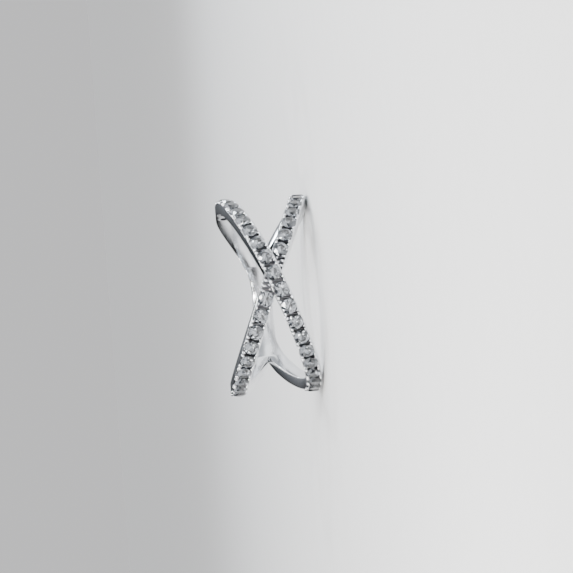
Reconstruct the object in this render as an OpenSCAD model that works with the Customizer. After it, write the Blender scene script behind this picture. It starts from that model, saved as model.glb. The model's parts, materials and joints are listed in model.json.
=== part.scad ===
// Crossover ring: two thin strands of set stones cross in front and close into a plain shank.
// The ring lies on its side: Z runs along the finger, the crossing faces -Y, and the lowest
// metal touches Z = 0 under the middle of the finger hole.

/* [Finger hole] */
// Inner diameter of the ring
bore_d = 17.3; // [15:0.1:21]

/* [Strands] */
// Width of one strand from side to side
strand_w = 1.62; // [1.56:0.02:2.2]
// Thickness of the metal from the finger hole to the rail tops
wall = 1.1; // [1:0.05:1.8]
// How far each strand's centre line swings to either side of the ring's middle
swing = 3.8; // [2.6:0.1:5]
// Extra height of the upper strand at the crossing
crossing_rise = 0.35; // [0.25:0.05:0.8]
// Angle on each side of the crossing over which that rise dies away
rise_span = 40; // [30:1:60]
// Width of the bright rail along each edge of a strand
rail_w = 0.12; // [0.08:0.01:0.2]
// Radius on the rails' outer edges
rail_edge = 0.03; // [0.02:0.005:0.05]
// Depth of the pocket cut round each stone, between the rails
pocket_depth = 0.34; // [0.12:0.02:0.4]

/* [Shank] */
// How much wider the plain shank is than one strand
shank_extra_w = 0.4; // [0.2:0.1:1.2]
// Thickness of the plain shank
shank_t = 1.25; // [1:0.05:2]
// Radius on the plain shank's outer edges
shank_edge = 0.3; // [0.1:0.05:0.4]
// Angle from the crossing where the strands begin to close in
close_from = 100; // [95:1:110]
// Angle from the crossing where they have become one shank
close_to = 165; // [150:1:172]

/* [Stones] */
// Diameter of one round stone
stone_d = 1.5; // [1.2:0.05:1.5]
// Space between neighbouring stones at the ring's sides
stone_gap = 0.15; // [0.1:0.01:0.4]
// Angle from the crossing that the rows of stones reach
pave_reach = 102; // [70:1:103]
// Table width as a share of the stone's diameter
table_share = 0.57; // [0.5:0.01:0.65]
// Crown height as a share of the stone's diameter
crown_share = 0.15; // [0.1:0.01:0.18]
// Pavilion depth as a share of the stone's diameter
pavilion_share = 0.43; // [0.38:0.01:0.46]
// How far out the inner tips of the lower facets lie, as a share of the stone's radius
lower_share = 0.24; // [0.18:0.01:0.35]
// Thickness of the stone's girdle
girdle_t = 0.04; // [0.02:0.01:0.08]
// Height of the girdle above the rail tops
girdle_lift = 0.05; // [0.02:0.01:0.15]

/* [Setting] */
// Clearance between a stone and its seat
seat_clear = 0.02; // [0.01:0.005:0.04]
// Diameter of the hole drilled through to the finger under each stone
azure_d = 0.7; // [0.4:0.05:0.9]
// Diameter of one bead of metal that holds a stone
bead_d = 0.38; // [0.3:0.02:0.44]
// Distance between the two beads of a pair
bead_spacing = 0.4; // [0.3:0.02:0.5]
// How far a bead's round side stands out past the strand's side
bead_proud = 0.02; // [0.01:0.01:0.05]
// Height of a bead's middle above the rail tops
bead_lift = 0.03; // [0:0.01:0.08]
// Thickness of the ridge left across the strand between two stones
ridge_t = 0.14; // [0.08:0.02:0.2]

/* [Hidden] */
metal = [0.83, 0.83, 0.85];
glassy = [0.84, 0.92, 0.97];

bore_r = bore_d / 2;
rail_r = bore_r + wall;
half_w = strand_w / 2;
girdle_r = rail_r + girdle_lift;
stone_r = stone_d / 2;
table_r = stone_r * table_share;
crown_h = stone_d * crown_share;
pavilion_h = stone_d * pavilion_share;
bead_out = half_w + bead_proud - bead_d / 2;
// The lowest metal is a bead on the outer side of a strand, a quarter turn from the crossing
middle_z = swing + half_w + bead_proud;

// Stations along a strand for each stone, so that the facets follow the stones
stations = 2;
// Angle between neighbouring stones, and between two stations
pitch = (stone_d + stone_gap) / girdle_r * 180 / PI;
step = pitch / stations;
// The finger hole's wall is a row of flats, one to a step, that touch its circle from outside
foot_r = bore_r / cos(step / 2);
// The upper strand's front starts and ends inside its two tails: the tails' first angle, how far it
// reaches into them, how deep it lies under their skin and off the finger hole's wall, and the
// angle over which it sinks there
tail_from = pave_reach + 1;
lap = 3;
seam = 0.02;
seam_run = 6;
// Points in a strand's section
corners = 8;
// How far a seat's drilled hole and a pocket run past the metal that they open
drill_past = 2;
pocket_past = 0.3;
// Sides of a bead and of a seat
bead_sides = 32;
seat_sides = 48;
// The shoulder of a quarter circle drawn with one middle point
shoulder = 1 - cos(45);

function ease(t) = let (u = min(max(t, 0), 1)) u * u * (3 - 2 * u);

// Distance of a strand's centre line from the ring's middle plane, at an angle from the crossing
function close_in(a) =
    let (span = close_to - close_from,
         t = min((a - close_from) / span, 1),
         lead = swing * cos(close_from) * span * PI / 180)
    swing * sin(close_from) * (2 * t ^ 3 - 3 * t ^ 2 + 1)
        + lead * (t ^ 3 - 2 * t ^ 2 + t)
        + shank_extra_w / 2 * (3 * t ^ 2 - 2 * t ^ 3);
function sideways(a) = abs(a) <= close_from ? swing * sin(a) : sign(a) * close_in(abs(a));

// Angle of the strand against the ring's middle plane, and its half width measured along Z
function slant(a, near = 0.5) =
    atan((sideways(a + near) - sideways(a - near)) / (2 * near * rail_r * PI / 180));
function half_z(a) = half_w / cos(slant(a));

// The angle where the two strands' inner edges meet
function meeting(low, high, turns = 30) =
    let (mid = (low + high) / 2)
    turns == 0 ? mid
        : sideways(mid) > half_z(mid) ? meeting(mid, high, turns - 1)
        : meeting(low, mid, turns - 1);
merge = meeting(close_from, close_to);

// Rows of stones: the upper strand has one on the crossing, the lower starts where it clears it
over_side = floor(pave_reach / pitch - 0.5);
function clears(k) = 2 * sideways(k * pitch) * cos(slant(k * pitch)) > half_w + stone_r + 2 * seat_clear;
under_first = [for (k = [0.5 : 1 : over_side]) if (clears(k)) k][0];
under_side = floor(pave_reach / pitch - 0.5 - under_first) + 1;
over_angles = [for (k = [-over_side : over_side]) k * pitch];
under_angles = [for (side = [-1, 1], k = [0 : under_side - 1]) side * (under_first + k) * pitch];
over_end = (over_side + 0.5) * pitch;
under_end = (under_first + under_side - 0.5) * pitch;

// Upper strand, lower strand
OVER = 1;
UNDER = -1;

function plain(a) = ease((abs(a) - pave_reach) / (merge - pave_reach));
function rise(a, strand) =
    strand == OVER ? crossing_rise * (1 + cos(180 * min(abs(a) / rise_span, 1))) / 2 : 0;
function top_r(a, strand) = rail_r + (shank_t - wall) * plain(a) + rise(a, strand);
function edge(a) = rail_edge + (shank_edge - rail_edge) * plain(a);
// Depth of the valley between the strands, which runs out along the shank
function valley(a) = edge(a) * (1 - ease((abs(a) - merge) / (180 - merge)));

function at(a, r, z) = [-r * sin(a), -r * cos(a), middle_z + z];

// A side of a section from its foot up over the rounded shoulder to the top, as [z, r]
function low_side(z, foot, top, run, drop) =
    [[z, foot], [z, top - drop], [z + shoulder * run, top - shoulder * drop], [z + run, top]];
function high_side(z, foot, top, run, drop) =
    [[z - run, top], [z - shoulder * run, top - shoulder * drop], [z, top - drop], [z, foot]];

// A strand's section at an angle; past the meeting it is half of the shank, up to the middle plane
function strand_section(a, strand, foot = foot_r, sunk = 0) =
    let (b = abs(a),
         inner = (b < merge ? sideways(b) - half_z(b) : 0) + sunk,
         outer = sideways(b) + half_z(b) - sunk,
         top = top_r(a, strand) - sunk,
         run = edge(a),
         section = a < 0
            ? concat(low_side(-outer, foot, top, run, run), high_side(-inner, foot, top, run, valley(a)))
            : concat(low_side(inner, foot, top, run, valley(a)), high_side(outer, foot, top, run, run)))
    [for (p = section) at(a, p[1], -strand * p[0])];

// Faces from each section to the next, the first section's points being numbered from first. Past
// the meeting a section's inner wall lies inside the shank and has no face.
function skin(angles, first) =
    [for (s = [0 : len(angles) - 2], i = [0 : corners - 1])
        let (a = angles[s], b = angles[s + 1], j = (i + 1) % corners,
             p = first + s * corners, q = p + corners)
        if (i != (a < 0 ? corners - 2 : 0) || min(abs(a), abs(b)) < merge)
            each [[p + i, q + i, q + j], [p + i, q + j, p + j]]];
function cap(first) = [for (i = [0 : corners - 1]) first + i];
function turned(faces) = [for (f = faces) [for (i = [len(f) - 1 : -1 : 0]) f[i]]];

function between(from, to) =
    let (n = ceil((to - from) / step))
    [for (i = [0 : n]) from + (to - from) * i / n];
function after_first(list) = [for (i = [1 : len(list) - 1]) list[i]];

// Angles of the sections: the lower strand's all round, each tail's, and the upper strand's front
tail_stops = concat(between(tail_from, merge), after_first(between(merge, 180)));
ring_stops = concat(between(-180, -merge), after_first(between(-merge, merge)),
    after_first(between(merge, 180)));
front_stops = between(-tail_from - lap, tail_from + lap);

// Puts its children on a strand: X along it, Y across it and Z away from the finger
module on_strand(a, strand, r) {
    rotate([0, 0, -a])
        translate([0, -r, middle_z - strand * sideways(a)])
            rotate([90, 0, 0])
                rotate([0, 0, strand * slant(a)])
                    children();
}

// The pocket round one stone, open at the top and ending at the ridges on both sides
module pocket(a, strand) {
    length = pitch * PI / 180 * girdle_r / cos(slant(a)) - ridge_t;
    wide = strand_w - 2 * rail_w;
    on_strand(a, strand, top_r(a, strand) - pocket_depth)
        translate([-length / 2, -wide / 2, 0])
            cube([length, wide, pocket_depth + pocket_past]);
}

// The upper strand from one side of the ring over the crossing to the other
module upper_front() {
    function sunk(a) = seam * ease((abs(a) - tail_from) / seam_run + 1);
    last = (len(front_stops) - 1) * corners;
    difference() {
        polyhedron([for (a = front_stops) each strand_section(a, OVER, foot_r + seam, sunk(a))],
            turned(concat([cap(0)], turned([cap(last)]), skin(front_stops, 0))));
        for (a = over_angles)
            pocket(a, OVER);
    }
}

// The lower strand all round, and the upper strand's tails, which close in on it as the shank
module lower_ring() {
    toe = (under_first - 1) * pitch;
    back_stops = [for (i = [len(tail_stops) - 1 : -1 : 0]) -tail_stops[i]];
    tail = len(ring_stops) * corners;
    back = tail + len(tail_stops) * corners;
    last = back + (len(tail_stops) - 1) * corners;
    difference() {
        polyhedron(concat([for (a = ring_stops) each strand_section(a, UNDER)],
                [for (a = concat(tail_stops, back_stops)) each strand_section(a, OVER)]),
            concat(skin(ring_stops, 0),
                turned(concat([cap(tail)], skin(tail_stops, tail), skin(back_stops, back))),
                [cap(last)]));
        for (a = concat([-toe, toe], under_angles))
            pocket(a, UNDER);
    }
}

module bead(a, strand, along, across) {
    on_strand(a, strand, top_r(a, strand))
        translate([along, across, bead_lift])
            sphere(d = bead_d, $fn = bead_sides);
}

module bead_pair(a, strand, across) {
    for (along = [-bead_spacing / 2, bead_spacing / 2])
        bead(a, strand, along, across);
}

// Two pairs of beads on each ridge between stones, one bead for each stone that it touches
module over_beads() {
    for (side = [-1, 1], k = [0 : over_side - 1], across = [-bead_out, bead_out])
        bead_pair(side * (k + 0.5) * pitch, OVER, across);
    for (side = [-1, 1], across = [-bead_out, bead_out])
        bead(side * over_end, OVER, side * bead_spacing / 2, across);
}

// The lower strand's inner beads stop where the upper strand covers them
module under_beads() {
    for (side = [-1, 1]) {
        outer = side * bead_out;
        for (k = [1 : under_side - 1], across = [-bead_out, bead_out])
            bead_pair(side * (under_first + k - 0.5) * pitch, UNDER, across);
        bead_pair(side * (under_first - 0.5) * pitch, UNDER, outer);
        for (across = [-bead_out, bead_out])
            bead(side * under_end, UNDER, side * bead_spacing / 2, across);
    }
}

module band() color(metal) {
    difference() {
        union() {
            upper_front();
            lower_ring();
            over_beads();
            under_beads();
        }
        for (a = over_angles)
            on_strand(a, OVER, girdle_r + rise(a, OVER))
                seat();
        for (a = under_angles)
            on_strand(a, UNDER, girdle_r)
                seat();
    }
}

// The stone's own envelope with the seat's clearance, and the drilled hole below it
module seat() {
    wide = stone_r + seat_clear;
    steep = pavilion_h / stone_r;
    azure_r = azure_d / 2;
    foot = -wall - drill_past;
    rotate_extrude($fn = seat_sides)
        polygon([[0, foot], [azure_r, foot], [azure_r, -(wide - azure_r) * steep],
            [wide, 0], [wide, girdle_t + seat_clear / 2],
            [table_r + seat_clear, girdle_t + crown_h + seat_clear / 2],
            [0, girdle_t + crown_h + seat_clear / 2]]);
}

// A round brilliant: table, eight stars, eight kites, sixteen upper and sixteen lower girdle
// facets and eight mains, with its girdle's lower edge at Z = 0
module brilliant() {
    half_turn = 22.5;
    star_r = (table_r * cos(half_turn) + stone_r) / 2;
    star_z = girdle_t + crown_h * (stone_r - star_r * cos(half_turn)) / (stone_r - table_r);
    lower_r = stone_r * lower_share;
    lower_z = -pavilion_h * (stone_r - lower_r * cos(half_turn)) / stone_r;
    function round_row(n, r, z, from) =
        [for (i = [0 : n - 1]) let (turn = from + i * 360 / n) [r * cos(turn), r * sin(turn), z]];
    points = concat(
        round_row(8, table_r, girdle_t + crown_h, 0),
        round_row(8, star_r, star_z, half_turn),
        round_row(16, stone_r, girdle_t, 0),
        round_row(16, stone_r, 0, 0),
        round_row(8, lower_r, lower_z, half_turn),
        [[0, 0, -pavilion_h]]);
    table = 0;
    star = 8;
    top = 16;
    low = 32;
    deep = 48;
    culet = 56;
    faces = concat(
        [[for (i = [7 : -1 : 0]) table + i]],
        [for (i = [0 : 7]) let (j = (i + 1) % 8) [table + i, table + j, star + i]],
        [for (i = [0 : 7]) let (h = (i + 7) % 8) [table + i, star + i, top + 2 * i, star + h]],
        [for (i = [0 : 7]) [star + i, top + 2 * i + 1, top + 2 * i]],
        [for (i = [0 : 7]) [star + i, top + (2 * i + 2) % 16, top + 2 * i + 1]],
        [for (i = [0 : 15]) let (j = (i + 1) % 16) [top + i, top + j, low + j, low + i]],
        [for (i = [0 : 7]) [deep + i, low + 2 * i, low + 2 * i + 1]],
        [for (i = [0 : 7]) [deep + i, low + 2 * i + 1, low + (2 * i + 2) % 16]],
        [for (i = [0 : 7]) let (h = (i + 7) % 8) [culet, deep + h, low + 2 * i, deep + i]]);
    polyhedron(points, faces);
}

module stone(a, strand) color(glassy) {
    on_strand(a, strand, girdle_r + rise(a, strand))
        brilliant();
}

function stone_name(row, i) = str(row, "_stone_", i < 9 ? "0" : "", i + 1);

band();
for (i = [0 : len(over_angles) - 1])
    stone(over_angles[i], OVER);
for (i = [0 : len(under_angles) - 1])
    stone(under_angles[i], UNDER);
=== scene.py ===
import json
import math
from functools import cache

import bmesh
import bpy
from mathutils import Matrix, Vector


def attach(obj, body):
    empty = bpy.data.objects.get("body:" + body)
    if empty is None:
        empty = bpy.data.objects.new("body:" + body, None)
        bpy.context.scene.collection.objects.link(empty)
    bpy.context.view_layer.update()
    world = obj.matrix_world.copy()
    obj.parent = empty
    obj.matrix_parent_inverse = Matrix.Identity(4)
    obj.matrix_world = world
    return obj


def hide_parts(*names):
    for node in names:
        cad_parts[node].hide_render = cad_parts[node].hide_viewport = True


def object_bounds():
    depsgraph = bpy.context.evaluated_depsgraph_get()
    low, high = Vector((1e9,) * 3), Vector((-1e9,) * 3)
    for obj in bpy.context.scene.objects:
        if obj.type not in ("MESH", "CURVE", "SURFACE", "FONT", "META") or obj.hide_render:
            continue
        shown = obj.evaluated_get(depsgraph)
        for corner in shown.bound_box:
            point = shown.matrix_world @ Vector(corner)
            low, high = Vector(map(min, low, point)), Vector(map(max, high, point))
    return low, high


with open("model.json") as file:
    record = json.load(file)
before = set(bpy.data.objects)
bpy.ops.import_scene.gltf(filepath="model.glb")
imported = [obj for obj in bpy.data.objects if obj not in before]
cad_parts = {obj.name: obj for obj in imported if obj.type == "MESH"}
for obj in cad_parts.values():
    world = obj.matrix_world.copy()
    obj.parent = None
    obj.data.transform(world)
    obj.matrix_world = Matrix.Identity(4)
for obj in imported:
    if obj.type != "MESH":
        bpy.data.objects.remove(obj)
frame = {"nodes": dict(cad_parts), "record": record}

cad_lo, cad_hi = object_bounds()

# The view. The ring lies on its side, so the finger's line stands upright and the photograph is this
# camera rolled over: up in the picture is +X, and the fingertip side, at the picture's left, is +Z.
mm = 0.001
finger_hole = next(m for m in frame["record"]["mounts"] if m["name"] == "finger_hole")
bore_r = finger_hole["dims"]["r_mm"] * mm
middle_z = (cad_lo.z + cad_hi.z) / 2
picture_px = 573
picture_scale = 9.83 / mm         # pixels to a metre at the middle of the ring
eye_distance = 250 * mm
ring_px = Vector((268.2, 295.7))  # where the middle of the ring lies in the picture
below = math.radians(12.7)        # the eye lies this far towards the picture's bottom,
fingertip = math.radians(4.1)     # this far towards its left,
rolled = math.radians(-4.3)       # and turned about its own line of sight by this
upright = Matrix(((0, 1, 0), (0, 0, -1), (-1, 0, 0)))
turned = (upright @ Matrix.Rotation(below, 3, "X") @ Matrix.Rotation(-fingertip, 3, "Y")
          @ Matrix.Rotation(rolled, 3, "Z"))
film_w = 36
lens = bpy.data.cameras.new("eye")
lens.sensor_width = film_w
lens.lens = picture_scale * eye_distance / picture_px * film_w
lens.shift_x = (picture_px / 2 - ring_px.x) / picture_px
lens.shift_y = (ring_px.y - picture_px / 2) / picture_px
lens.clip_start = 1 * mm
lens.clip_end = 20
eye = bpy.data.objects.new("eye", lens)
eye.matrix_world = Matrix.Translation(
    Vector((0, 0, middle_z)) + turned.col[2] * eye_distance) @ turned.to_4x4()
bpy.context.scene.collection.objects.link(eye)
bpy.context.scene.camera = eye


# Silver with a bright plated skin, polished by hand: what the whole band is cast in. It is a cold
# mirror with the faint waves, hairlines and dulled patches of a ring that is worn every day.
class Shade:
    """A socket of a material's nodes; sums and products with it add Math nodes."""

    def __init__(self, tree, socket):
        self.tree = tree
        self.socket = socket

    def node(self, kind, settings=(), inputs=(), out=0):
        made = self.tree.nodes.new(kind)
        for name, value in dict(settings).items():
            if name == "stops":
                ramp = made.color_ramp.elements
                while len(ramp) < len(value):
                    ramp.new(0.5)
                for stop, (place, colour) in zip(ramp, value):
                    stop.position = place
                    stop.color = colour
            else:
                setattr(made, name, value)
        for name, value in dict(inputs).items():
            if isinstance(value, Shade):
                self.tree.links.new(value.socket, made.inputs[name])
            else:
                made.inputs[name].default_value = value
        return Shade(self.tree, made.outputs[out])

    def maths(self, operation, first, second):
        return self.node("ShaderNodeMath", {"operation": operation}, {0: first, 1: second})

    def __add__(self, other):
        return self.maths("ADD", self, other)

    def __radd__(self, other):
        return self.maths("ADD", other, self)

    def __mul__(self, other):
        return self.maths("MULTIPLY", self, other)

    def __rmul__(self, other):
        return self.maths("MULTIPLY", other, self)


def new_finish(name):
    """A new material, the Object coordinates of its tree as a Shade, and its output node."""
    made = bpy.data.materials.new(name)
    made.use_nodes = True
    tree = made.node_tree
    tree.nodes.clear()
    out = tree.nodes.new("ShaderNodeOutputMaterial")
    place = tree.nodes.new("ShaderNodeTexCoord")
    return made, Shade(tree, place.outputs["Object"]), out


silver, place, silver_out = new_finish("plated_silver")
waves = place.node("ShaderNodeTexNoise", {}, {"Vector": place, "Scale": 0.45 / mm, "Detail": 2.0})
grain = place.node("ShaderNodeTexNoise", {}, {"Vector": place, "Scale": 9 / mm, "Detail": 4.0})
stretched = place.node("ShaderNodeMapping", {}, {"Vector": place, "Scale": (1.0, 1.0, 14.0)})
hairlines = place.node("ShaderNodeTexNoise", {},
                       {"Vector": stretched, "Scale": 2.2 / mm, "Detail": 5.0, "Roughness": 0.7})
dulled = place.node("ShaderNodeValToRGB", {"stops": [(0.45, (0, 0, 0, 1)), (0.7, (1, 1, 1, 1))]},
                    {"Fac": waves})
tone = place.node("ShaderNodeMix", {"data_type": "RGBA"},
                  {0: dulled, 6: (0.80, 0.81, 0.83, 1), 7: (0.70, 0.71, 0.73, 1)}, out=2)
bumped = place.node("ShaderNodeBump", {},
                    {"Height": 0.6 * hairlines + 0.4 * grain, "Strength": 0.12, "Distance": 0.01 * mm})
polish = place.node("ShaderNodeBsdfPrincipled", {},
                    {"Base Color": tone, "Roughness": 0.10 + 0.09 * dulled + 0.06 * hairlines,
                     "Normal": bumped, "Metallic": 1.0})
silver.node_tree.links.new(polish.socket, silver_out.inputs["Surface"])

# The same metal down in the pockets and seats, where no polishing wheel gets: left dull from the setter's
# cutting, and coloured near black there, which is painted shade in these recesses
silver_with_painted_shade, place, hollow_out = new_finish("recess_painted_shade")
cut_marks = place.node("ShaderNodeTexNoise", {}, {"Vector": place, "Scale": 6 / mm, "Detail": 3.0})
# painted shade: the near-black colour stands in for the shade down in the pockets and seats
painted_shade_tone = place.node("ShaderNodeMix", {"data_type": "RGBA"},
                  {0: cut_marks, 6: (0.05, 0.05, 0.055, 1), 7: (0.18, 0.18, 0.19, 1)}, out=2)
shaded_recess_bsdf = place.node("ShaderNodeBsdfPrincipled", {},
                  {"Base Color": painted_shade_tone, "Roughness": 0.25 + 0.3 * cut_marks, "Metallic": 1.0})
silver_with_painted_shade.node_tree.links.new(shaded_recess_bsdf.socket, hollow_out.inputs["Surface"])


# The band: two thin strands that cross in front and close into one plain shank behind the finger,
# cast in one piece. The upper strand lifts over the lower one at the crossing. Each is a tall narrow
# bar swept round the finger, cut down between its rails wherever a stone sits.
strand_w = 1.62 * mm
wall = 1.1 * mm
rail_w = 0.12 * mm
rail_edge = 0.03 * mm
bore_edge = 0.06 * mm
under_relief = 0.01 * mm      # the lower strand's inner face is filed back by this under the upper one
pocket_depth = 0.34 * mm
ridge_drop = 0.1 * mm         # how far a ridge's thin top lies below the rails
swing = 3.8 * mm
crossing_rise = 0.35 * mm
rise_span = 40
shank_extra_w = 0.4 * mm
shank_t = 1.25 * mm
shank_edge = 0.3 * mm
close_from = 100              # this and the other angles are in degrees from the crossing
close_to = 165
stone_d = 1.5 * mm
stone_gap = 0.15 * mm
girdle_t = 0.04 * mm
girdle_lift = 0.05 * mm
pave_reach = 102
rail_r = bore_r + wall
half_w = strand_w / 2
girdle_r = rail_r + girdle_lift
pitch = math.degrees((stone_d + stone_gap) / girdle_r)
OVER = 1
UNDER = -1


def ease(t):
    u = min(max(t, 0), 1)
    return u * u * (3 - 2 * u)


@cache
def sideways(a):
    """How far a strand's middle line lies from the ring's middle, at an angle from the crossing."""
    if abs(a) <= close_from:
        return swing * math.sin(math.radians(a))
    t = min((abs(a) - close_from) / (close_to - close_from), 1)
    start = swing * math.sin(math.radians(close_from))
    lead = swing * math.cos(math.radians(close_from)) * math.radians(close_to - close_from)
    along = (start * (2 * t ** 3 - 3 * t ** 2 + 1) + lead * (t ** 3 - 2 * t ** 2 + t)
             + shank_extra_w / 2 * (3 * t ** 2 - 2 * t ** 3))
    return math.copysign(along, a)


def slant(a, near=0.5):
    """The strand's angle against the ring's middle plane, in radians."""
    return math.atan((sideways(a + near) - sideways(a - near)) / (2 * near * rail_r * math.radians(1)))


@cache
def half_z(a):
    return half_w / math.cos(slant(a))


merge, beyond = close_from, close_to
for halving in range(30):
    mid = (merge + beyond) / 2
    if sideways(mid) > half_z(mid):
        merge = mid
    else:
        beyond = mid


@cache
def plain(a):
    """0 where the strand is set with stones, and 1 where it has become the shank."""
    return ease((abs(a) - pave_reach) / (merge - pave_reach))


def rise(a, strand):
    if strand == UNDER:
        return 0
    return crossing_rise * (1 + math.cos(math.pi * min(abs(a) / rise_span, 1))) / 2


def top_r(a, strand):
    return rail_r + (shank_t - wall) * plain(a) + rise(a, strand)


def edge(a):
    return rail_edge + (shank_edge - rail_edge) * plain(a)


def valley(a):
    return edge(a) * (1 - ease((abs(a) - merge) / (180 - merge)))


# The upper row has a stone on the crossing, and the lower row starts where the upper strand clears it
over_side = math.floor(pave_reach / pitch - 0.5)
under_first = 1.5
under_side = math.floor(pave_reach / pitch - 0.5 - under_first) + 1
over_row = [k * pitch for k in range(-over_side, over_side + 1)]
under_row = [side * (under_first + k) * pitch for side in (-1, 1) for k in range(under_side)]
toes = [side * (under_first - 1) * pitch for side in (-1, 1)]
pocketed = {OVER: over_row, UNDER: under_row + toes}

# The bar is swept through these angles: evenly along the stones, then more widely to the meeting and
# round the shank. The steps to a pitch are odd, so that a ridge's thin top lies between two stations.
steps_to_pitch = 23
closing_steps = 40
shank_steps = 24
over_end = (over_side + 0.5) * pitch
under_end = (under_first + under_side - 0.5) * pitch
turn_step = pitch / steps_to_pitch
half_turn = [k * turn_step for k in range(round(over_end / turn_step))]
half_turn += [over_end + (merge - over_end) * k / closing_steps for k in range(closing_steps)]
half_turn += [merge + (180 - merge) * k / shank_steps for k in range(shank_steps + 1)]
stations = [-a for a in half_turn[:0:-1]] + half_turn

# A section's points in turn: its side (0 or 1), its level, and how far into that corner it lies.
# Then come the rails' inner edges and the pocket's floor between them.
FOOT, TOP, POCKET = range(3)
corner_steps = 3
POLISHED, HOLLOW, BEAD = range(3)   # the kinds of the band's faces; a bead's are polished too
inner_edge_fade = 10          # the angle before the meeting over which the inner edge's rounding ends


def corner_points(side, level):
    bends = [math.pi / 2 * i / corner_steps for i in range(corner_steps + 1)]
    return [(side, level, 1 - math.cos(b), 1 - math.sin(b)) for b in bends]


outline = (corner_points(0, FOOT)[::-1] + corner_points(0, TOP)
           + [(0, POCKET, 0, 0), (0, POCKET, 0, 1), (1, POCKET, 0, 1), (1, POCKET, 0, 0)]
           + corner_points(1, TOP)[::-1] + corner_points(1, FOOT))


def set_with_stones(a, strand):
    row_end = over_end if strand == OVER else under_end
    return abs(a) < row_end - turn_step


def in_pocket(a, strand):
    near = min(abs(a - stone) for stone in pocketed[strand])
    return near < pitch / 2 - turn_step


def section_point(a, strand, point):
    """Where a point of the section goes on a strand at an angle round the ring: its radius and height."""
    side, level, into, down = point
    b = abs(a)
    at_inner = (side == 0) == (a >= 0)
    face = sideways(b) - half_z(b) if at_inner else sideways(b) + half_z(b)
    if at_inner and b >= merge:
        face = 0
    inward = 1 if at_inner else -1
    top = top_r(a, strand)
    if level == FOOT:
        soft = bore_edge * (ease((merge - b) / inner_edge_fade) if at_inner else 1)
        across = face + inward * soft * into
        r = bore_r + soft * down + (under_relief * (1 - plain(a)) if strand == UNDER else 0)
    elif level == TOP:
        across = face + inward * edge(b) * into
        r = top - (valley(b) if at_inner else edge(b)) * down
    else:
        across = face + inward * max(rail_w / math.cos(slant(a)), edge(b))
        drop = pocket_depth if in_pocket(a, strand) else ridge_drop * set_with_stones(a, strand)
        r = top - drop * down
    return r, middle_z - strand * math.copysign(1, a) * across


def swept_strand(strand):
    """A row of points spun round the finger, one ring to a station, then moved to the strand's sections."""
    bm = bmesh.new()
    row = [bm.verts.new((0, 1 + i, 0)) for i in range(len(outline))]
    loop = [bm.edges.new((row[i], row[(i + 1) % len(row)])) for i in range(len(row))]
    rings = len(stations) - 1
    deep = set()
    bmesh.ops.spin(bm, geom=row + loop, cent=(0, 0, 0), axis=(0, 0, 1), angle=math.pi, steps=rings)
    for v in bm.verts:
        ring = round(abs(math.atan2(-v.co.x, v.co.y)) / math.pi * rings)
        point = outline[round(v.co.length) - 1]
        a = stations[ring]
        r, z = section_point(a, strand, point)
        v.co = (-r * math.sin(math.radians(a)), -r * math.cos(math.radians(a)), z)
        if point[1] == POCKET and r < top_r(a, strand) - ridge_drop / 2:
            deep.update(v.link_faces)
    for f in deep:
        f.material_index = HOLLOW
    middle_wall = [f for f in bm.faces if all(abs(v.co.z - middle_z) < 1e-9 for v in f.verts)]
    bmesh.ops.delete(bm, geom=middle_wall, context="FACES")
    return bm


def add_to(bm, other):
    """Puts one mesh's faces into another."""
    loose = bpy.data.meshes.new("loose")
    other.to_mesh(loose)
    other.free()
    bm.from_mesh(loose)
    bpy.data.meshes.remove(loose)


band_bm = swept_strand(OVER)
add_to(band_bm, swept_strand(UNDER))
bmesh.ops.remove_doubles(band_bm, verts=band_bm.verts, dist=1e-4 * mm)
bmesh.ops.dissolve_degenerate(band_bm, edges=band_bm.edges, dist=1e-4 * mm)
bmesh.ops.recalc_face_normals(band_bm, faces=band_bm.faces)


# Beads of metal raised beside each ridge, two pairs to a gap, each pushed over the edge of the stone
# next to it. They stand a hair proud of the strand's sides.
bead_d = 0.38 * mm
bead_spacing = 0.4 * mm
bead_proud = 0.02 * mm
bead_lift = 0.03 * mm
bead_segments = 12
bead_rings = 8
bead_out = half_w + bead_proud - bead_d / 2


def on_strand(a, strand, r):
    """A place on a strand: X along it, Y across it and Z away from the finger."""
    return (Matrix.Rotation(math.radians(-a), 4, "Z")
            @ Matrix.Translation((0, -r, middle_z - strand * sideways(a)))
            @ Matrix.Rotation(math.pi / 2, 4, "X")
            @ Matrix.Rotation(strand * slant(a), 4, "Z"))


bead_places = []
for side in (-1, 1):
    for k in range(over_side):
        for across in (-bead_out, bead_out):
            for along in (-bead_spacing / 2, bead_spacing / 2):
                bead_places.append((side * (k + 0.5) * pitch, OVER, along, across))
    for k in range(1, under_side):
        for across in (-bead_out, bead_out):
            for along in (-bead_spacing / 2, bead_spacing / 2):
                bead_places.append((side * (under_first + k - 0.5) * pitch, UNDER, along, across))
    for across in (-bead_out, bead_out):
        bead_places.append((side * over_end, OVER, side * bead_spacing / 2, across))
        bead_places.append((side * under_end, UNDER, side * bead_spacing / 2, across))

bead = bmesh.new()
bmesh.ops.create_uvsphere(bead, u_segments=bead_segments, v_segments=bead_rings, radius=bead_d / 2)
for f in bead.faces:
    f.material_index = BEAD
bead_mesh = bpy.data.meshes.new("bead")
bead.to_mesh(bead_mesh)
bead.free()


def scattered(mesh, places):
    """Copies of one mesh, each put in its own place."""
    bm = bmesh.new()
    for spot in places:
        before = len(bm.verts)
        bm.from_mesh(mesh)
        bm.verts.ensure_lookup_table()
        bmesh.ops.transform(bm, matrix=spot, verts=bm.verts[before:])
    return bm


spots = [on_strand(a, strand, top_r(a, strand)) @ Matrix.Translation((along, across, bead_lift))
         for a, strand, along, across in bead_places]

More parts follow.
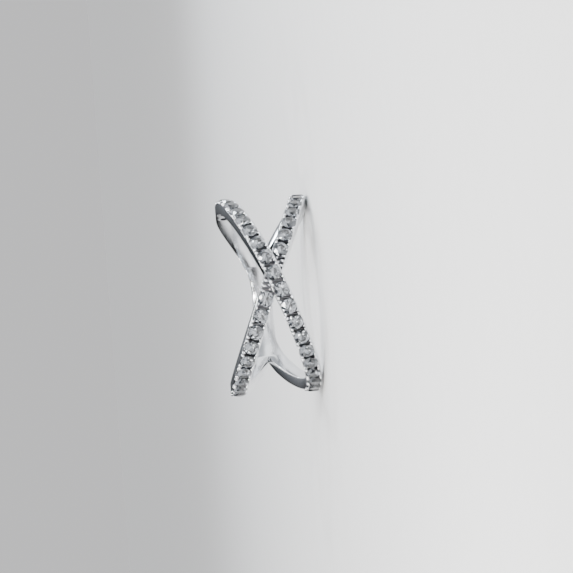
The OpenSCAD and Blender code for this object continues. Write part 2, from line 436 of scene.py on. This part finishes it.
# Where the lower strand dives under the upper one, three wider claws stand along its outer side, and
# two posts fill the corner beside the upper strand. Each has its place along and across the strand,
# its height and its shape as shares of a bead's.
toe = (under_first - 0.5) * pitch
claw_out = bead_out - 0.12 * mm
claw_shape = (0.75, 1.6, 1.1, 1)
post_sink = -0.12 * mm
post_shape = (0.85, 0.85, 1.7, 1)
claws = [(0.2 * mm, claw_out, bead_lift, claw_shape),
         (-0.28 * mm, claw_out, bead_lift, claw_shape),
         (-0.76 * mm, claw_out, bead_lift, claw_shape),
         (-0.1 * mm, -0.12 * mm, post_sink, post_shape),
         (-0.5 * mm, 0.12 * mm, post_sink, post_shape)]
for side in (-1, 1):
    for along, across, lift, shape in claws:
        a = side * (toe + math.degrees(along / rail_r))
        spots.append(on_strand(a, UNDER, rail_r) @ Matrix.Translation((0, side * across, lift))
                     @ Matrix.Diagonal(shape))
beads_bm = scattered(bead_mesh, spots)

# Each stone's seat is burred and drilled straight through to the finger, so that light gets behind it
seat_clear = 0.02 * mm
azure_d = 0.7 * mm
table_share = 0.57
crown_share = 0.15
pavilion_share = 0.43
seat_sides = 48
drill_reach = 3 * mm          # from the girdle down, past the wall of the finger hole
seat_r = stone_d / 2 + seat_clear
crown_top = girdle_t + stone_d * crown_share + seat_clear / 2
drill_r = azure_d / 2
burr_slope = pavilion_share * 2
seat_profile = [(0, -drill_reach), (drill_r, -drill_reach), (drill_r, -(seat_r - drill_r) * burr_slope),
                (seat_r, 0), (seat_r, girdle_t + seat_clear / 2),
                (stone_d / 2 * table_share + seat_clear, crown_top), (0, crown_top)]
burr = bmesh.new()
corners = [burr.verts.new((x, 0, z)) for x, z in seat_profile]
lines = [burr.edges.new(pair) for pair in zip(corners, corners[1:])]
bmesh.ops.spin(burr, geom=corners + lines, cent=(0, 0, 0), axis=(0, 0, 1), angle=2 * math.pi,
               steps=seat_sides, use_merge=True)
bmesh.ops.remove_doubles(burr, verts=burr.verts, dist=1e-4 * mm)
bmesh.ops.recalc_face_normals(burr, faces=burr.faces)
for f in burr.faces:
    f.material_index = HOLLOW if f.calc_center_median().z < 0 else POLISHED
burr_mesh = bpy.data.meshes.new("burr")
burr.to_mesh(burr_mesh)
burr.free()

seats_bm = scattered(burr_mesh, [on_strand(a, strand, girdle_r + rise(a, strand))
                                 for row, strand in ((over_row, OVER), (under_row, UNDER)) for a in row])


def as_object(name, bm, finishes):
    """An object with this mesh, all in triangles."""
    bmesh.ops.triangulate(bm, faces=bm.faces)
    mesh = bpy.data.meshes.new(name)
    for finish in finishes:
        mesh.materials.append(finish)
    bm.to_mesh(mesh)
    bm.free()
    made = bpy.data.objects.new(name, mesh)
    bpy.context.scene.collection.objects.link(made)
    return made


def settle(piece):
    """Leaves a piece the plain mesh that its modifiers make of it."""
    whole = piece.evaluated_get(bpy.context.evaluated_depsgraph_get())
    mesh = bpy.data.meshes.new_from_object(whole)
    piece.modifiers.clear()
    piece.data = mesh


def change(piece, tool, operation, solver):
    """Joins a tool's solid to a piece, or cuts it away."""
    step = piece.modifiers.new("step", "BOOLEAN")
    step.operation = operation
    step.solver = solver
    step.object = tool
    step.use_self = solver == "EXACT"
    settle(piece)
    bpy.data.objects.remove(tool)


# the hollows get the silver whose near-black colour is painted shade
finishes = [silver, silver_with_painted_shade, silver]   # in the order of the kinds of faces
band = as_object("cast_band", band_bm, finishes)
change(band, as_object("beads", beads_bm, finishes), "UNION", "EXACT")
change(band, as_object("seats", seats_bm, finishes), "DIFFERENCE", "MANIFOLD")

# Edges stay crisp past this angle and all round each bead, and the broad faces stay flat beside them
sharp = math.radians(35)
finished = bmesh.new()
finished.from_mesh(band.data)
bmesh.ops.remove_doubles(finished, verts=finished.verts, dist=1e-4 * mm)
bmesh.ops.dissolve_degenerate(finished, edges=finished.edges, dist=1e-4 * mm)
for e in finished.edges:
    bead_sides = {f.material_index == BEAD for f in e.link_faces}
    e.smooth = len(bead_sides) == 1 and e.calc_face_angle(math.pi) < sharp
for f in finished.faces:
    f.smooth = True
    if f.material_index == BEAD:
        f.material_index = POLISHED
finished.to_mesh(band.data)
finished.free()
band.data.materials.pop(index=BEAD)
flatter = band.modifiers.new("flatter", "WEIGHTED_NORMAL")
flatter.keep_sharp = True
settle(band)
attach(band, "root")
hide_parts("band")


# The stones: round brilliants of a clear colourless crystal, each cut with a table and 56 facets and
# dropped into its seat. Their true facets come with the frame, so only the finish is made here. The
# finish's dark grey colour is painted shade, standing in for the dark surroundings seen through the stones.
crystal, place, crystal_out = new_finish("crystal_with_painted_shade")
haze = place.node("ShaderNodeTexNoise", {}, {"Vector": place, "Scale": 1.3 / mm, "Detail": 3.0})
smear = place.node("ShaderNodeValToRGB", {"stops": [(0.5, (0, 0, 0, 1)), (0.8, (1, 1, 1, 1))]},
                   {"Fac": haze})
# painted shade: the crystal's dark grey colour stands in for dark surroundings seen through the stones
painted_shade_tint = place.node("ShaderNodeMix", {"data_type": "RGBA"},
                  {0: haze, 6: (0.42, 0.44, 0.48, 1), 7: (0.34, 0.36, 0.38, 1)}, out=2)
gem = place.node("ShaderNodeBsdfPrincipled", {},
                 {"Base Color": painted_shade_tint, "Roughness": 0.01 * smear, "IOR": 1.77,
                  "Transmission Weight": 1.0})
crystal.node_tree.links.new(gem.socket, crystal_out.inputs["Surface"])
for name, node in frame["nodes"].items():
    if "stone" in name:
        node.data.materials.clear()
        node.data.materials.append(crystal)


# The studio: a wide pale floor in even, soft light. What the ring reflects is a dim room that brightens
# towards the picture's top, with a few small lamps round it that make the stones sparkle.
floor_r = 3.0
bm = bmesh.new()
bmesh.ops.create_circle(bm, cap_ends=True, segments=96, radius=floor_r)
paper, place, paper_out = new_finish("pale_paper")
fibres = place.node("ShaderNodeTexNoise", {}, {"Vector": place, "Scale": 0.4 / mm, "Detail": 3.0})
sheet = place.node("ShaderNodeMix", {"data_type": "RGBA"},
                   {0: fibres, 6: (0.76, 0.755, 0.75, 1), 7: (0.80, 0.795, 0.79, 1)}, out=2)
matt = place.node("ShaderNodeBsdfPrincipled", {}, {"Base Color": sheet, "Roughness": 0.9})
paper.node_tree.links.new(matt.socket, paper_out.inputs["Surface"])
floor = as_object("floor", bm, [paper])

room = bpy.data.worlds.new("room")
room.use_nodes = True
tree = room.node_tree
tree.nodes.clear()
way = Shade(tree, tree.nodes.new("ShaderNodeTexCoord").outputs["Generated"])
brightest = (0.85, -0.25, 0.46)
upwards = way.node("ShaderNodeVectorMath", {"operation": "DOT_PRODUCT"}, {0: way, 1: brightest}, out=1)
glow = way.node("ShaderNodeValToRGB",
                {"stops": [(0.45, (0.01, 0.01, 0.012, 1)), (0.95, (0.55, 0.58, 0.62, 1))]},
                {"Fac": 0.5 * upwards + 0.5})
seen = Shade(tree, tree.nodes.new("ShaderNodeLightPath").outputs["Is Camera Ray"])
backdrop = way.node("ShaderNodeMix", {"data_type": "RGBA"},
                    {0: seen, 6: glow, 7: (0.73, 0.73, 0.74, 1)}, out=2)
air = way.node("ShaderNodeBackground", {}, {"Color": backdrop})
tree.links.new(air.socket, tree.nodes.new("ShaderNodeOutputWorld").inputs["Surface"])
bpy.context.scene.world = room

day = bpy.data.lights.new("day", "SUN")
day.angle = math.radians(40)
day.energy = 2.4
daylight = bpy.data.objects.new("day", day)
daylight.matrix_world = Vector((0.3, 0.2, 1.0)).to_track_quat("Z", "Y").to_matrix().to_4x4()
bpy.context.scene.collection.objects.link(daylight)

# The lamps: where each hangs and its side, in millimetres, its power and its colour
cold = (0.86, 0.93, 1.0)
white = (1.0, 0.99, 0.97)
lamps = [((150, -100, 100), 30, 0.16, cold),
         ((100, 140, 160), 30, 0.16, cold),
         ((30, -120, 200), 30, 0.20, white),
         ((-100, -180, 160), 30, 0.16, white),
         ((-160, 50, 120), 30, 0.12, white),
         ((40, -220, 80), 20, 0.08, white),
         ((-80, -120, 50), 20, 0.07, white),
         ((-45, -200, 50), 16, 0.08, white),
         ((110, -160, 60), 20, 0.10, cold),
         ((0, -60, 160), 20, 0.08, white),
         ((-140, -80, 70), 20, 0.08, white),
         ((170, 10, 60), 20, 0.10, cold)]
for at, size, power, colour in lamps:
    bulb = bpy.data.lights.new("sparkle", "AREA")
    bulb.size = size * mm
    bulb.energy = power
    bulb.color = colour
    lamp = bpy.data.objects.new("sparkle", bulb)
    spot = Vector(at) * mm
    towards = Vector((0, 0, middle_z)) - spot
    lamp.matrix_world = Matrix.Translation(spot) @ towards.to_track_quat("-Z", "Y").to_matrix().to_4x4()
    bpy.context.scene.collection.objects.link(lamp)
